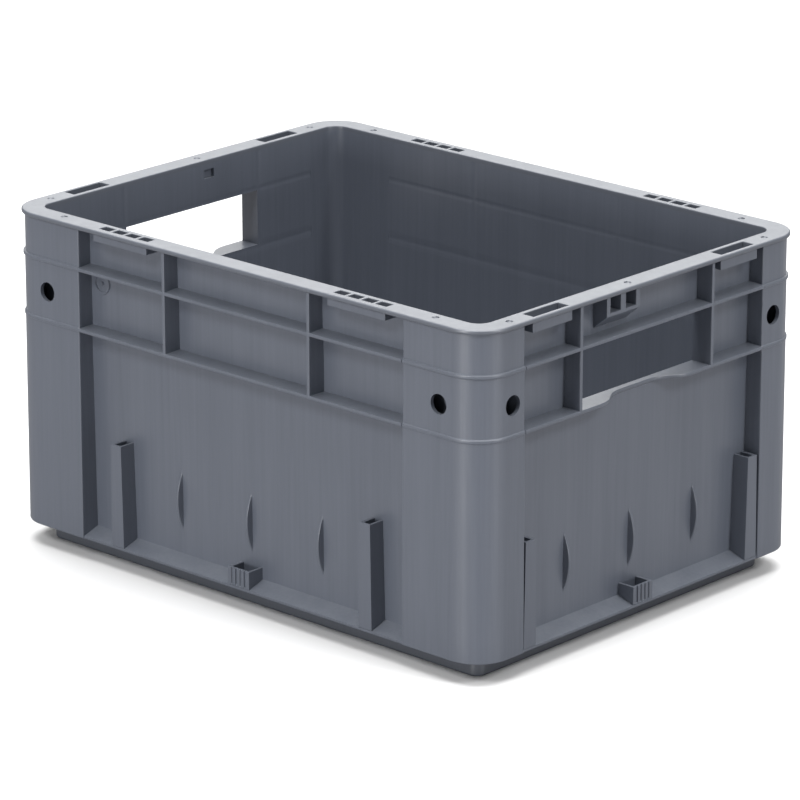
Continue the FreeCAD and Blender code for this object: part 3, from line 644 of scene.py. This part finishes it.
@dataclass
class WallSide(Member):
    """One side of the crate between two posts, with its ribs, studs, fins and ledge."""

    sizes: CrateSizes
    form: Moulding
    side: Side
    stud_offset: float = 0.061
    fin_pitch: float = 0.060
    fin_half: float = 0.0009
    fin_reach: float = 0.005
    fin_span: float = 0.01925
    fin_level: float = 0.055
    ledge_edge: float = 0.0018
    ledge_rise: float = 0.0042
    spacing: float = 0.012
    stamp: tuple[float, float] | None = None
    stamp_radius: float = 0.007
    stamp_relief: float = 0.001
    stamp_reach: float = 1.08
    sink: float = 0.00025
    sink_width: float = 0.0022

    def __post_init__(self) -> None:
        """Work out the side's own half sizes."""
        ends = self.side in (Side.LEFT, Side.RIGHT)
        self.half = self.sizes.half_x if ends else self.sizes.half_y
        self.span = self.sizes.post_y if ends else self.sizes.post_x
        self.upper = self.sizes.upper_rib(self.form)
        self.lower = self.sizes.lower_rib(self.form)
        self.stud = (self.stud_offset - self.form.stud / 2, self.stud_offset + self.form.stud / 2)

    def marks(self) -> tuple[Array, Array]:
        """Grid lines along the side and up the side that its features need."""
        edge = self.form.edge
        along = [box_marks(sign * self.stud_offset - self.form.stud / 2,
                           sign * self.stud_offset + self.form.stud / 2, edge)
                 for sign in (-1, 1)]
        along += [box_marks(step * self.fin_pitch - self.fin_half,
                            step * self.fin_pitch + self.fin_half, edge)
                  for step in (-1, 0, 1)]
        beside = self.sink_width * np.array([-1.8, -1.3, -0.9, 0.9, 1.3, 1.8])
        along += [sign * self.stud_offset + beside for sign in (-1, 1)]
        ledge_top = self.sizes.foot_top + self.ledge_edge
        fin = np.linspace(-self.fin_span, self.fin_span, 17) + self.fin_level
        up = [box_marks(*self.upper, edge), box_marks(*self.lower, edge),
              self.upper[1] + np.array([self.form.rib_drop]),
              self.lower[0] - np.array([self.form.rib_drop]),
              box_marks(self.sizes.foot_top, ledge_top, edge), fin,
              ledge_top + np.array([self.ledge_rise]),
              self.sizes.floor_top + self.form.fillet * np.array([0.0, 0.1, 0.3, 0.6, 1.0]),
              self.upper[1] + beside[:2], self.upper[1] - beside[:2] - self.form.rib_tip,
              self.lower[0] + beside[:2], self.lower[1] - beside[:2]]
        if self.stamp is not None:
            rings = self.stamp_radius * STAMP_RINGS
            along.append(np.concatenate([self.stamp[0] + rings, self.stamp[0] - rings]))
            up.append(np.concatenate([self.stamp[1] + rings, self.stamp[1] - rings]))
        return np.concatenate(along), np.concatenate(up)

    def face(self, z: Array) -> Array:
        """Depth of the wall's drafted outer surface, which closes in evenly downwards."""
        share = (self.sizes.wall_top - z) / (self.sizes.wall_top - self.sizes.floor_top)
        return self.half - self.form.recess - self.form.draft * share

    def lower_rib_front(self, s: Array) -> Array:
        """Depth of the lower rib's front, the same all along."""
        return np.full_like(s, self.half - self.sizes.rib_face)

    def outer_depth(self, s: Array, z: Array) -> Array:
        """Depth of the outer surface: the largest of the wall's and of each raised form's."""
        form, sizes = self.form, self.sizes
        base = self.face(z)
        front = self.half - sizes.rib_face
        ledge_top = sizes.foot_top + self.ledge_edge
        climb = np.clip((z - ledge_top) / self.ledge_rise, 0.0, 1.0)
        slope = (1 - climb) * (self.half - form.face) + climb * base
        lip = raised(np.minimum(z - sizes.foot_top, 1.0), self.half - form.face, base, form.edge)
        depth = np.maximum(base, np.where(z <= ledge_top, lip, slope))
        depth = np.maximum(depth, raised(
            np.minimum(z - self.upper[0], (self.upper[1] - z)), front, base, form.edge))
        taper = np.clip((z - self.upper[1]) / form.rib_drop, 0.0, 1.0)
        taper_under = np.clip((self.lower[0] - z) / form.rib_drop, 0.0, 1.0)
        root = base + form.rib_root
        depth = np.maximum(depth, np.where(
            z >= self.upper[1], (1 - taper) * (front - form.edge) + taper * root, base))
        low_front = self.lower_rib_front(s)
        depth = np.maximum(depth, raised(
            np.minimum(z - self.lower[0], self.lower[1] - z), low_front, base, form.edge))
        depth = np.maximum(depth, np.where(
            z <= self.lower[0],
            (1 - taper_under) * (low_front - form.edge) + taper_under * root, base))
        studs = inside_box(np.abs(s), z, self.stud, (self.lower[1] - form.rib_tip, 1.0))
        depth = np.maximum(depth, raised(studs, front, base, form.edge))
        nearest = s - self.fin_pitch * np.clip(np.round(s / self.fin_pitch), -1, 1)
        bow = 1 - ((z - self.fin_level) / self.fin_span) ** 2
        crest = base + self.fin_reach * np.clip(bow, 0.0, 1.0)
        fins = raised(self.fin_half - np.abs(nearest), crest, base, form.edge)
        return np.maximum(depth, np.where(bow > 0, fins, base))

    def sink_lines(self, s: Array, z: Array) -> Array:
        """Depth of the shrink lines that the ribs and studs leave on the inner surface.

        Each line is a bell curve across the rib: the depth times e to the minus square of the
        distance from the rib's middle over the line's width.
        """
        lines = np.zeros_like(z)
        for low, high in (self.upper, self.lower):
            lines = np.maximum(lines, np.exp(-((z - (low + high) / 2) / self.sink_width) ** 2))
        across = (np.abs(s) - self.stud_offset) / self.sink_width
        above = np.clip((z - self.lower[0]) / self.sink_width, 0.0, 1.0)
        return self.sink * np.maximum(lines, np.exp(-across ** 2) * above)

    def inner_depth(self, z: Array) -> Array:
        """Depth of the inner surface, with a round fillet down to the floor."""
        rise = np.clip((z - self.sizes.floor_top) / self.form.fillet, 0.0, 1.0)
        fillet = self.form.fillet * (1 - np.sqrt(1 - (1 - rise) ** 2))
        below = z < self.sizes.floor_top - 1e-6
        seat = self.half - self.form.recess - self.form.draft - self.form.seat
        return np.where(below, seat, self.face(z) - self.form.wall - fillet)

    def holes(self, s: Array, z: Array) -> Array:
        """True for each cell that is there, by its middle."""
        return np.ones_like(s, bool)

    def build(self, name: str) -> bpy.types.Object:
        """Make the side's mesh.

        Args:
            name: The piece's name.

        Returns:
            The new piece.
        """
        along, up = self.marks()
        s_lines = grid_lines(-self.span, self.span, along, self.spacing)
        z_lines = grid_lines(self.sizes.foot_top, self.sizes.wall_top, up, self.spacing)
        s, z = np.meshgrid(s_lines, z_lines, indexing="ij")
        middle_s = (s[:-1, :-1] + s[1:, 1:]) / 2
        middle_z = (z[:-1, :-1] + z[1:, 1:]) / 2
        relief = np.zeros_like(s)
        if self.stamp is not None:
            s, z, square = round_patch(s, z, self.stamp, self.stamp_radius,
                                       self.stamp_reach)
            relief = self.stamp_relief * np.interp(
                square / self.stamp_radius, STAMP_RINGS, STAMP_HEIGHTS)
        outer = np.stack([s, self.outer_depth(s, z) + relief, z], axis=-1)
        inner = np.stack([s, self.inner_depth(z) + self.sink_lines(s, z), z], axis=-1)
        parts = shell(turned(outer, self.side), turned(inner, self.side),
                      self.holes(middle_s, middle_z))
        return new_piece(name, [parts])


@dataclass
class EndSide(WallSide):
    """A short end, whose hand hole lies between the level ribs and the two studs."""

    scoop_half: float = 0.043
    scoop_run: float = 0.030
    scoop_leave: float = 0.0014
    pass_middle: float = 0.01545
    pass_half: float = 0.00465
    pass_drop: float = 0.0125
    pass_height: float = 0.006

    def marks(self) -> tuple[Array, Array]:
        """Add the lines of the bay in the lower rib and of the label's passage."""
        along, up = super().marks()
        run = np.linspace(self.scoop_half - self.scoop_run, self.scoop_half, 17)
        passage = self.pass_middle + self.pass_half * np.array([-1.0, 1.0])
        low = self.sizes.top - self.pass_drop
        levels = low + self.pass_height * np.array([0.0, 1.0])
        return (np.concatenate([along, run, -run, passage]), np.concatenate([up, levels]))

    def lower_rib_front(self, s: Array) -> Array:
        """Depth of the lower rib's front: a bay whose ends are two tangent arcs each.

        Each arc's radius is the sum of the squares of the run and of the bay's depth, over
        four times that depth.
        """
        front = self.half - self.sizes.rib_face
        bay = self.form.recess - self.scoop_leave - self.sizes.rib_face
        radius = (self.scoop_run ** 2 + bay ** 2) / (4 * bay)
        run = np.clip(self.scoop_half - np.abs(s), 0.0, self.scoop_run)
        near = radius - np.sqrt(radius ** 2 - np.minimum(run, self.scoop_run / 2) ** 2)
        left = np.minimum(self.scoop_run - run, self.scoop_run / 2)
        far = bay - radius + np.sqrt(radius ** 2 - left ** 2)
        return front - np.where(run <= self.scoop_run / 2, near, far)

    def holes(self, s: Array, z: Array) -> Array:
        """Leave out the hand hole and the label's passage."""
        hand = (np.abs(s) < self.sizes.grip_half) & (z > self.lower[1]) & (z < self.upper[0])
        low = self.sizes.top - self.pass_drop
        passage = ((np.abs(s - self.pass_middle) < self.pass_half)
                   & (z > low) & (z < low + self.pass_height))
        return ~(hand | passage)


@dataclass
class CornerPost(Member):
    """A hollow corner post: a skin with two webs, and the drafted wall behind it."""

    sizes: CrateSizes
    form: Moulding
    side: Side
    corner: float = 0.0008
    zone: float = 0.004
    top_inset: float = 0.0020
    middle_inset: float = 0.0016
    low_inset: float = 0.0012
    low_flare: float = 0.0005
    bottom_round: float = 0.0006
    web_inset: float = 0.0134
    web_run: float = 0.012
    arc_spacing: float = 0.0022
    spacing: float = 0.012
    lead_long: float = 0.035
    lead_short: float = 0.029

    def __post_init__(self) -> None:
        """Work out both arms, seen from the side on which the post begins."""
        sizes = self.sizes
        ends = self.side in (Side.LEFT, Side.RIGHT)
        long_arm = sizes.half_x - sizes.post_x
        short_arm = sizes.half_y - sizes.post_y
        self.depth = sizes.half_x if ends else sizes.half_y
        self.reach = sizes.half_y if ends else sizes.half_x
        self.arms = (short_arm, long_arm) if ends else (long_arm, short_arm)
        self.leads = (self.lead_short, self.lead_long) if ends else (
            self.lead_long, self.lead_short)
        radius = self.form.corner_radius
        self.straight = (self.arms[0] - radius, self.arms[1] - radius)
        self.total = sum(self.straight) + radius * math.pi / 2

    def main_plan(self, t: Array, inset: Array) -> tuple[Array, Array]:
        """A point on the outline at an inset: along one arm, round the corner, along the other."""
        radius = self.form.corner_radius
        angle = np.clip((t - self.straight[0]) / radius, 0.0, math.pi / 2)
        over = np.maximum(t - self.straight[0] - radius * math.pi / 2, 0.0)
        under = np.minimum(t - self.straight[0], 0.0)
        x = self.reach - radius + (radius - inset) * np.sin(angle) + under
        y = self.depth - radius + (radius - inset) * np.cos(angle) - over
        return x, y

    def web_plan(self, t: Array, skin: Array, foot: float, web: float, rest: float,
                 corner: float) -> tuple[Array, Array]:
        """The web at one end of the outline and the rounded edge to the skin.

        Below zero the parameter runs up the web. Over the first half of the zone it turns a
        quarter circle, and over the second half it runs straight to the zone's end.

        Args:
            t: Place along the outline, from its end.
            skin: Depth of the skin's surface.
            foot: Depth at which the web begins.
            web: Place of the web's surface along the arm.
            rest: Place of the zone's end along the arm.
            corner: Radius of the edge.

        Returns:
            Places along the arm and depths.
        """
        climb = np.clip(1 + t / self.web_run, 0.0, 1.0)
        angle = np.clip(t / (self.zone / 2), 0.0, 1.0) * math.pi / 2
        straight = np.clip(t / (self.zone / 2) - 1, 0.0, 1.0)
        along = web + corner * (1 - np.cos(angle)) + straight * (rest - web - corner)
        depth = np.where(t < 0, foot + climb * (skin - corner - foot),
                         skin - corner + corner * np.sin(angle))
        return along, depth

    def plan(self, t: Array, inset: Array, offset: float,
             corner: float) -> tuple[Array, Array]:
        """The whole outline: web, edge, skin round the corner, edge and web."""
        x, y = self.main_plan(t, inset + offset)
        back = self.total - t
        start = (self.reach - self.arms[0], self.depth - self.arms[1])
        start_x, start_y = self.web_plan(
            t, self.depth - inset - offset, self.depth - self.web_inset, start[0] + offset,
            start[0] + self.zone, corner)
        end_y, end_x = self.web_plan(
            back, self.reach - inset - offset, self.reach - self.web_inset, start[1] + offset,
            start[1] + self.zone, corner)
        at_start, at_end = t < self.zone, back < self.zone
        x = np.where(at_start, start_x, np.where(at_end, end_x, x))
        y = np.where(at_start, start_y, np.where(at_end, end_y, y))
        return x, y

    def skin_inset(self, z: Array) -> Array:
        """The skin's inset: a little step outwards below each bead, and the round beads."""
        form, sizes = self.form, self.sizes
        upper, lower = sizes.upper_rib(form), sizes.lower_rib(form)
        inset = np.where(z > upper[0] + form.rib_tip / 2, self.top_inset, np.where(
            z > lower[0] + form.rib_tip / 2, self.middle_inset, self.low_inset))
        drop = np.clip((lower[0] - z) / lower[0], 0.0, 1.0)
        inset = inset - self.low_flare * drop
        depth = -inset
        for low, high in (upper, lower):
            depth = np.maximum(depth, raised(
                np.minimum(z - low, high - z), -sizes.rib_face, -inset, form.edge))
        bottom = np.clip(1 - (z - sizes.foot_top) / self.bottom_round, 0.0, 1.0)
        return -depth + self.bottom_round * bottom ** 2

    def build(self, name: str) -> bpy.types.Object:
        """Make the post's mesh.

        Args:
            name: The piece's name.

        Returns:
            The new piece.
        """
        form, sizes = self.form, self.sizes
        centres = (self.arms[0] - self.leads[0], self.total - self.arms[1] + self.leads[1])
        level = sizes.top - form.hole_drop
        radius = form.corner_radius
        turn = self.straight[0] + np.linspace(
            0.0, radius * math.pi / 2, int(radius * math.pi / 2 / self.arc_spacing) + 1)
        zone = np.linspace(0.0, self.zone / 2, ARC_STEPS + 1)
        t_marks = np.concatenate([
            zone, [self.zone], self.total - zone, [self.total - self.zone], turn,
            *(ring_marks(centre, form.hole_radius) for centre in centres)])
        t_lines = grid_lines(-self.web_run, self.total + self.web_run, t_marks, self.spacing)
        upper, lower = sizes.upper_rib(form), sizes.lower_rib(form)
        z_marks = np.concatenate([
            box_marks(*upper, form.edge), box_marks(*lower, form.edge),
            ring_marks(level, form.hole_radius),
            sizes.foot_top + self.bottom_round * np.array([1 / 3, 1.0])])
        z_lines = grid_lines(sizes.foot_top, sizes.wall_top, z_marks, self.spacing)
        t, z = np.meshgrid(t_lines, z_lines, indexing="ij")
        keep = np.ones((len(t_lines) - 1, len(z_lines) - 1), bool)
        middle_t = (t[:-1, :-1] + t[1:, 1:]) / 2
        middle_z = (z[:-1, :-1] + z[1:, 1:]) / 2
        for centre in centres:
            t, z, _ = round_patch(t, z, (centre, level), form.hole_radius)
            keep &= np.maximum(np.abs(middle_t - centre),
                               np.abs(middle_z - level)) > form.hole_radius
        inset = self.skin_inset(z)
        outer = np.stack([*self.plan(t, inset, 0.0, self.corner), z], axis=-1)
        inner = np.stack([*self.plan(t, inset, form.wall, self.corner / 3), z], axis=-1)
        skin = shell(turned(outer, self.side), turned(inner, self.side), keep)

        t_lines = grid_lines(0.0, self.total, turn, self.spacing)
        fillet = form.fillet
        z_lines = grid_lines(sizes.floor_top, sizes.wall_top, sizes.floor_top
                             + fillet * np.array([0.1, 0.3, 0.6, 1.0]), self.spacing)
        t, z = np.meshgrid(t_lines, z_lines, indexing="ij")
        share = (sizes.wall_top - z) / (sizes.wall_top - sizes.floor_top)
        inset = form.recess + form.draft * share
        rise = np.clip((z - sizes.floor_top) / fillet, 0.0, 1.0)
        rounding = fillet * (1 - np.sqrt(1 - (1 - rise) ** 2))
        outer = np.stack([*self.main_plan(t, inset), z], axis=-1)
        inner = np.stack([*self.main_plan(t, inset + form.wall + rounding), z], axis=-1)
        liner = shell(turned(outer, self.side), turned(inner, self.side))
        return new_piece(name, [skin, liner])


@dataclass
class Rim(Member):
    """The flange round the top, with its lip, slots, pockets and ejector marks."""

    sizes: CrateSizes
    form: Moulding
    lip: float = 0.0012
    inner_edge: float = 0.0008
    slot_pitch: float = 0.0112
    slot_length: float = 0.009
    slot_inset: float = 0.005
    slot_width: float = 0.006
    pocket_length: float = 0.031
    pocket_inset: float = 0.003
    pocket_width: float = 0.0086
    chamfer: float = 0.0003
    mark_radius: float = 0.0023
    mark_depth: float = 0.0007
    long_marks: tuple[float, ...] = (-0.156, 0.156)
    short_marks: tuple[float, ...] = (-0.118, 0.012, 0.118)
    long_mark_inset: float = 0.009
    short_mark_inset: float = 0.0075
    thinnest: float = 0.0002
    spacing: float = 0.012
    cross_spacing: float = 0.003

    def openings(self) -> list[tuple[float, float, float, float]]:
        """Each opening as start, stop, low and high inset, along the outline from its start."""
        long_run, short_run = self.sizes.straight_runs(self.form)
        turn = self.form.corner_radius * math.pi / 2
        boxes = []
        start = 0.0
        pockets = [middle_of("pocket_well_right_" + letter).y for letter in "ab"]
        groups = [middle_of("slot_well_back_" + letter).x for letter in "ab"]
        for run, ends in ((long_run, False), (short_run, True)) * 2:
            if ends:
                centres, length = pockets, self.pocket_length
                low, width = self.pocket_inset, self.pocket_width
            else:
                centres = [group + (step - 1.5) * self.slot_pitch
                           for group in groups for step in range(4)]
                length, low, width = self.slot_length, self.slot_inset, self.slot_width
            middle = start + run / 2
            boxes += [(middle + centre - length / 2, middle + centre + length / 2,
                       low, low + width) for centre in centres]
            start += run + turn
        return boxes

    def ejector_marks(self) -> list[tuple[float, float]]:
        """Centres of the round ejector marks: place along the outline, and inset."""
        long_run, short_run = self.sizes.straight_runs(self.form)
        turn = self.form.corner_radius * math.pi / 2
        marks = []
        start = 0.0
        for run, ends in ((long_run, False), (short_run, True)) * 2:
            middle = start + run / 2
            offsets = self.short_marks if ends else self.long_marks
            inset = self.short_mark_inset if ends else self.long_mark_inset
            marks += [(middle + offset, inset) for offset in offsets]
            start += run + turn
        return marks

    def place(self, t: Array, inset: Array) -> tuple[Array, Array]:
        """A point of the rounded rectangle at an inset, from the back side's left end."""
        radius = self.form.corner_radius
        half = np.array([self.sizes.half_x, self.sizes.half_y])
        long_run, short_run = self.sizes.straight_runs(self.form)
        turn = radius * math.pi / 2
        x, y = np.zeros_like(t), np.zeros_like(t)
        start = 0.0
        for run, side in zip((long_run, short_run) * 2,
                             (Side.BACK, Side.RIGHT, Side.FRONT, Side.LEFT)):
            depth, reach = (half[1], half[0]) if side in (Side.BACK, Side.FRONT) else (
                half[0], half[1])
            local = t - start
            angle = np.clip((local - run) / radius, 0.0, math.pi / 2)
            px = -reach + radius + np.minimum(local, run) + (radius - inset) * np.sin(angle)
            py = depth - radius + (radius - inset) * np.cos(angle)
            here = (local >= -1e-9) & (local <= run + turn + 1e-9)
            points = turned(np.stack([px, py, px], axis=-1), side)
            x, y = np.where(here, points[..., 0], x), np.where(here, points[..., 1], y)
            start += run + turn
        return x, y

    def build(self, name: str) -> bpy.types.Object:
        """Make the rim's mesh.

        Args:
            name: The piece's name.

        Returns:
            The new piece.
        """
        sizes, form = self.sizes, self.form
        width = form.recess + form.wall
        radius = form.corner_radius
        long_run, short_run = sizes.straight_runs(form)
        turn = radius * math.pi / 2
        total = 2 * (long_run + short_run + 2 * turn)
        starts = np.array([long_run, long_run + turn + short_run])
        starts = np.concatenate([starts, starts + total / 2])
        corners = (starts[:, None] + np.linspace(0.0, turn, 19)).ravel()
        boxes = np.array(self.openings())
        marks = self.ejector_marks()
        t_marks = np.concatenate([
            corners, boxes[:, 0], boxes[:, 1], boxes[:, 0] - self.chamfer,
            boxes[:, 1] + self.chamfer,
            *(ring_marks(centre, self.mark_radius, 3) for centre, _ in marks)])
        angle = np.linspace(0.0, math.pi / 2, ARC_STEPS + 2)
        w_marks = np.concatenate([
            self.lip * (1 - np.cos(angle)), [self.lip + SNUG],
            width - self.inner_edge * (1 - np.cos(angle)), [width - self.inner_edge - SNUG],
            np.unique(boxes[:, 2:]), np.unique(boxes[:, 2]) - self.chamfer,
            np.unique(boxes[:, 3]) + self.chamfer,
            *(ring_marks(inset, self.mark_radius, 3) for _, inset in marks[:3])])
        t_lines = grid_lines(0.0, total, t_marks, self.spacing)[:-1]
        w_lines = grid_lines(0.0, width, w_marks, self.cross_spacing)
        t, w = np.meshgrid(t_lines, w_lines, indexing="ij")
        closed = np.append(t_lines, total)
        middle_t = ((closed[:-1] + closed[1:]) / 2)[:, None]
        middle_w = ((w_lines[:-1] + w_lines[1:]) / 2)[None, :]
        keep = np.ones((len(t_lines), len(w_lines) - 1), bool)
        top = np.full_like(t, sizes.top)
        outer_round = np.clip(self.lip - w, 0.0, self.lip)
        top -= self.lip - np.sqrt(self.lip ** 2 - outer_round ** 2)
        inner_round = np.clip(w - width + self.inner_edge, 0.0, self.inner_edge)
        top -= self.inner_edge - np.sqrt(self.inner_edge ** 2 - inner_round ** 2)
        for low_t, high_t, low_w, high_w in boxes:
            away = -inside_box(t, w, (low_t, high_t), (low_w, high_w))
            top -= self.chamfer * np.clip(1 - away / self.chamfer, 0.0, 1.0)
            keep &= ~((middle_t > low_t) & (middle_t < high_t)
                      & (middle_w > low_w) & (middle_w < high_w))
        for centre in marks:
            t, w, square = round_patch(t, w, centre, self.mark_radius)
            top -= self.mark_depth * (square < self.mark_radius - 1e-5)
        bottom = np.full_like(top, sizes.wall_top)
        under = np.clip(self.lip - w, 0.0, self.lip)
        bottom += self.lip - np.sqrt(self.lip ** 2 - under ** 2)
        x, y = self.place(t, w)
        upper = np.stack([x, y, np.maximum(top, bottom + self.thinnest)], axis=-1)
        lower = np.stack([x, y, bottom], axis=-1)
        return new_piece(name, [shell(upper, lower, keep, ring=True)])


@dataclass
class CarriedNodes(Member):
    """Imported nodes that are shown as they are, with rounded edges and a finish."""

    bevel: float = 0.0004
    flat_bevel: float = 0.0001
    segments: int = 3

    def dress_node(self, node: str, material: bpy.types.Material,
                   bevel: float | None = None) -> None:
        """Round a node's edges and give it its finish.

        Args:
            node: The node's name.
            material: Its finish.
            bevel: Width of the rounding; the class's own if left out.
        """
        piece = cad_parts[node]
        piece.data.materials.clear()
        piece.data.materials.append(material)
        weld = piece.modifiers.new("weld", "WELD")
        weld.merge_threshold = WELD_DISTANCE
        rounding = piece.modifiers.new("edge_rounding", "BEVEL")
        rounding.width = self.bevel if bevel is None else bevel
        rounding.segments = self.segments
        rounding.limit_method = "ANGLE"
        rounding.angle_limit = ROUNDING_LIMIT
        rounding.harden_normals = True
        rounding.use_clamp_overlap = True
        LOG.info("%s: carried over with a %s finish", node, material.name)


# ---------------------------------------------------------------- studio

@dataclass(frozen=True)
class Studio:
    """The floor, the light and the camera.

    The floor and the surroundings are white to look at and light the crate only weakly.
    """

    azimuth: float = 42.67
    elevation: float = 18.22
    distance: float = 3.0108
    lens: float = 213.15
    shift_right: float = -0.0016
    shift_up: float = 0.0956
    ambient: float = 0.17
    sensor: float = 36.0
    view_depth: float = 100.0
    floor_half: float = 30.0
    floor_seen: float = 0.95
    floor_bounce: Colour = (0.25, 0.25, 0.26)
    floor_roughness: float = 0.9
    sky_angle: float = 50.0
    aim: tuple[float, float, float] = (0.0, 0.0, 0.1)

    def camera(self) -> None:
        """Place the camera in front of the near corner."""
        azimuth, elevation = math.radians(self.azimuth), math.radians(self.elevation)
        back = Vector((math.sin(azimuth) * math.cos(elevation),
                       -math.cos(azimuth) * math.cos(elevation), math.sin(elevation)))
        right = Vector((math.cos(azimuth), math.sin(azimuth), 0.0))
        up = back.cross(right)
        data = bpy.data.cameras.new("camera")
        data.lens = self.lens
        data.sensor_width = self.sensor
        data.clip_end = self.view_depth
        camera = bpy.data.objects.new("camera", data)
        camera.location = back * self.distance + right * self.shift_right + up * self.shift_up
        camera.rotation_mode = "QUATERNION"
        camera.rotation_quaternion = (-back).to_track_quat("-Z", "Y")
        bpy.context.scene.collection.objects.link(camera)
        bpy.context.scene.camera = camera

    def floor(self) -> None:
        """A pale plain floor that reaches far past the view."""
        size = self.floor_half
        mesh = bpy.data.meshes.new("floor")
        mesh.from_pydata([(-size, -size, 0), (size, -size, 0), (size, size, 0),
                          (-size, size, 0)], [], [(0, 1, 2, 3)])
        floor = bpy.data.objects.new("floor", mesh)
        material = bpy.data.materials.new("pale_floor")
        material.use_nodes = True
        canvas = Canvas(material.node_tree)
        output = canvas.add("ShaderNodeOutputMaterial")
        shader = canvas.add("ShaderNodeBsdfPrincipled")
        seen = canvas.add("ShaderNodeLightPath").outputs["Is Camera Ray"]
        canvas.feed(shader.inputs["Base Color"], canvas.blend(
            seen, (*self.floor_bounce, 1.0), (*[self.floor_seen] * 3, 1.0)))
        shader.inputs["Roughness"].default_value = self.floor_roughness
        canvas.feed(output.inputs["Surface"], shader.outputs[0])
        mesh.materials.append(material)
        bpy.context.scene.collection.objects.link(floor)

    def area_light(self, name: str, place: tuple[float, float, float], size: float,
                   power: float, tall: float | None = None) -> None:
        """One soft box that points at the crate.

        Args:
            name: The light's name.
            place: Its place.
            size: Its width.
            power: Its power in watts.
            tall: Its height, if it isn't square.
        """
        data = bpy.data.lights.new(name, "AREA")
        data.energy = power
        data.size = size
        if tall is not None:
            data.shape = "RECTANGLE"
            data.size_y = tall
        light = bpy.data.objects.new(name, data)
        light.location = place
        aim = Vector(self.aim) - Vector(place)
        light.rotation_mode = "QUATERNION"
        light.rotation_quaternion = aim.to_track_quat("-Z", "Y")
        bpy.context.scene.collection.objects.link(light)

    def sky_light(self, name: str, place: tuple[float, float, float], strength: float) -> None:
        """One wide, even light from far above, which reaches the whole floor.

        Args:
            name: The light's name.
            place: The direction that it comes from.
            strength: Its power in watts per square metre.
        """
        data = bpy.data.lights.new(name, "SUN")
        data.energy = strength
        data.angle = math.radians(self.sky_angle)
        light = bpy.data.objects.new(name, data)
        light.location = place
        light.rotation_mode = "QUATERNION"
        light.rotation_quaternion = (-Vector(place)).to_track_quat("-Z", "Y")
        bpy.context.scene.collection.objects.link(light)

    def surroundings(self) -> None:
        """White to look at, and a weak even light on the crate."""
        world = bpy.data.worlds.new("studio")
        world.use_nodes = True
        canvas = Canvas(world.node_tree)
        output = canvas.add("ShaderNodeOutputWorld")
        background = canvas.add("ShaderNodeBackground")
        seen = canvas.add("ShaderNodeLightPath").outputs["Is Camera Ray"]
        canvas.feed(background.inputs["Strength"], canvas.calc(
            "MAXIMUM", seen, self.ambient))
        canvas.feed(background.inputs["Color"], WHITE)
        canvas.feed(output.inputs["Surface"], background.outputs[0])
        bpy.context.scene.world = world

    def light(self) -> None:
        """Weak surroundings, a sky, a back light, and a low strip and a high box per side."""
        self.surroundings()
        self.sky_light("overhead", (-0.05, 0.08, 1.0), 3.3)
        self.area_light("behind", (-2.0, 2.2, 1.5), 2.4, 20.0, 1.2)
        self.area_light("front", (0.12, -2.9, 0.25), 0.22, 29.0, 0.4)
        self.area_light("right", (4.9, 0.50, 0.4), 0.34, 50.0, 0.6)
        self.area_light("front_high", (0.10, -2.4, 2.4), 0.8, 36.0)
        self.area_light("right_high", (3.6, 0.40, 3.6), 1.2, 80.0)
        bpy.context.scene.view_settings.view_transform = "Standard"


def main() -> None:
    """Build the crate, dress it and set the studio."""
    logging.basicConfig(level=logging.INFO, format="%(name)s: %(message)s")
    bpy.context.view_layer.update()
    sizes = CrateSizes.from_frame()
    form = Moulding()
    finishes = Finishes()
    rim = Rim(sizes, form)
    rim.dress(rim.build("rim"), finishes.rim, "rim_frame")
    posts = {Side.BACK: "back_right", Side.RIGHT: "front_right", Side.FRONT: "front_left",
             Side.LEFT: "back_left"}
    for side, place in posts.items():
        post = CornerPost(sizes, form, side)
        post.dress(post.build("post_" + place), finishes.wall, "corner_post_" + place)
    for side in (Side.BACK, Side.FRONT):
        stamp = (STAMP_PLACE, sizes.upper_rib_under - STAMP_DROP) if side is Side.FRONT else None
        wall = WallSide(sizes, form, side, stamp=stamp)
        label = side.name.lower()
        wall.dress(wall.build("side_" + label), finishes.wall, "long_wall_" + label)
    for side in (Side.RIGHT, Side.LEFT):
        wall = EndSide(sizes, form, side)
        label = side.name.lower()
        wall.dress(wall.build("side_" + label), finishes.wall, "end_panel_" + label,
                   "end_rail_" + label, f"end_jamb_{label}_a", f"end_jamb_{label}_b")
    carried = CarriedNodes()
    for node in sorted(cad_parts):
        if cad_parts[node].hide_render:
            continue
        # The base tray and the floor panel take the darker finish, which is painted shade.
        flat = node in ("floor_panel", "base_tray")
        carried.dress_node(node, finishes.base if flat else finishes.small,
                           carried.flat_bevel if flat else None)
    studio = Studio()
    studio.camera()
    studio.floor()
    studio.light()


if __name__ == "__main__":
    main()
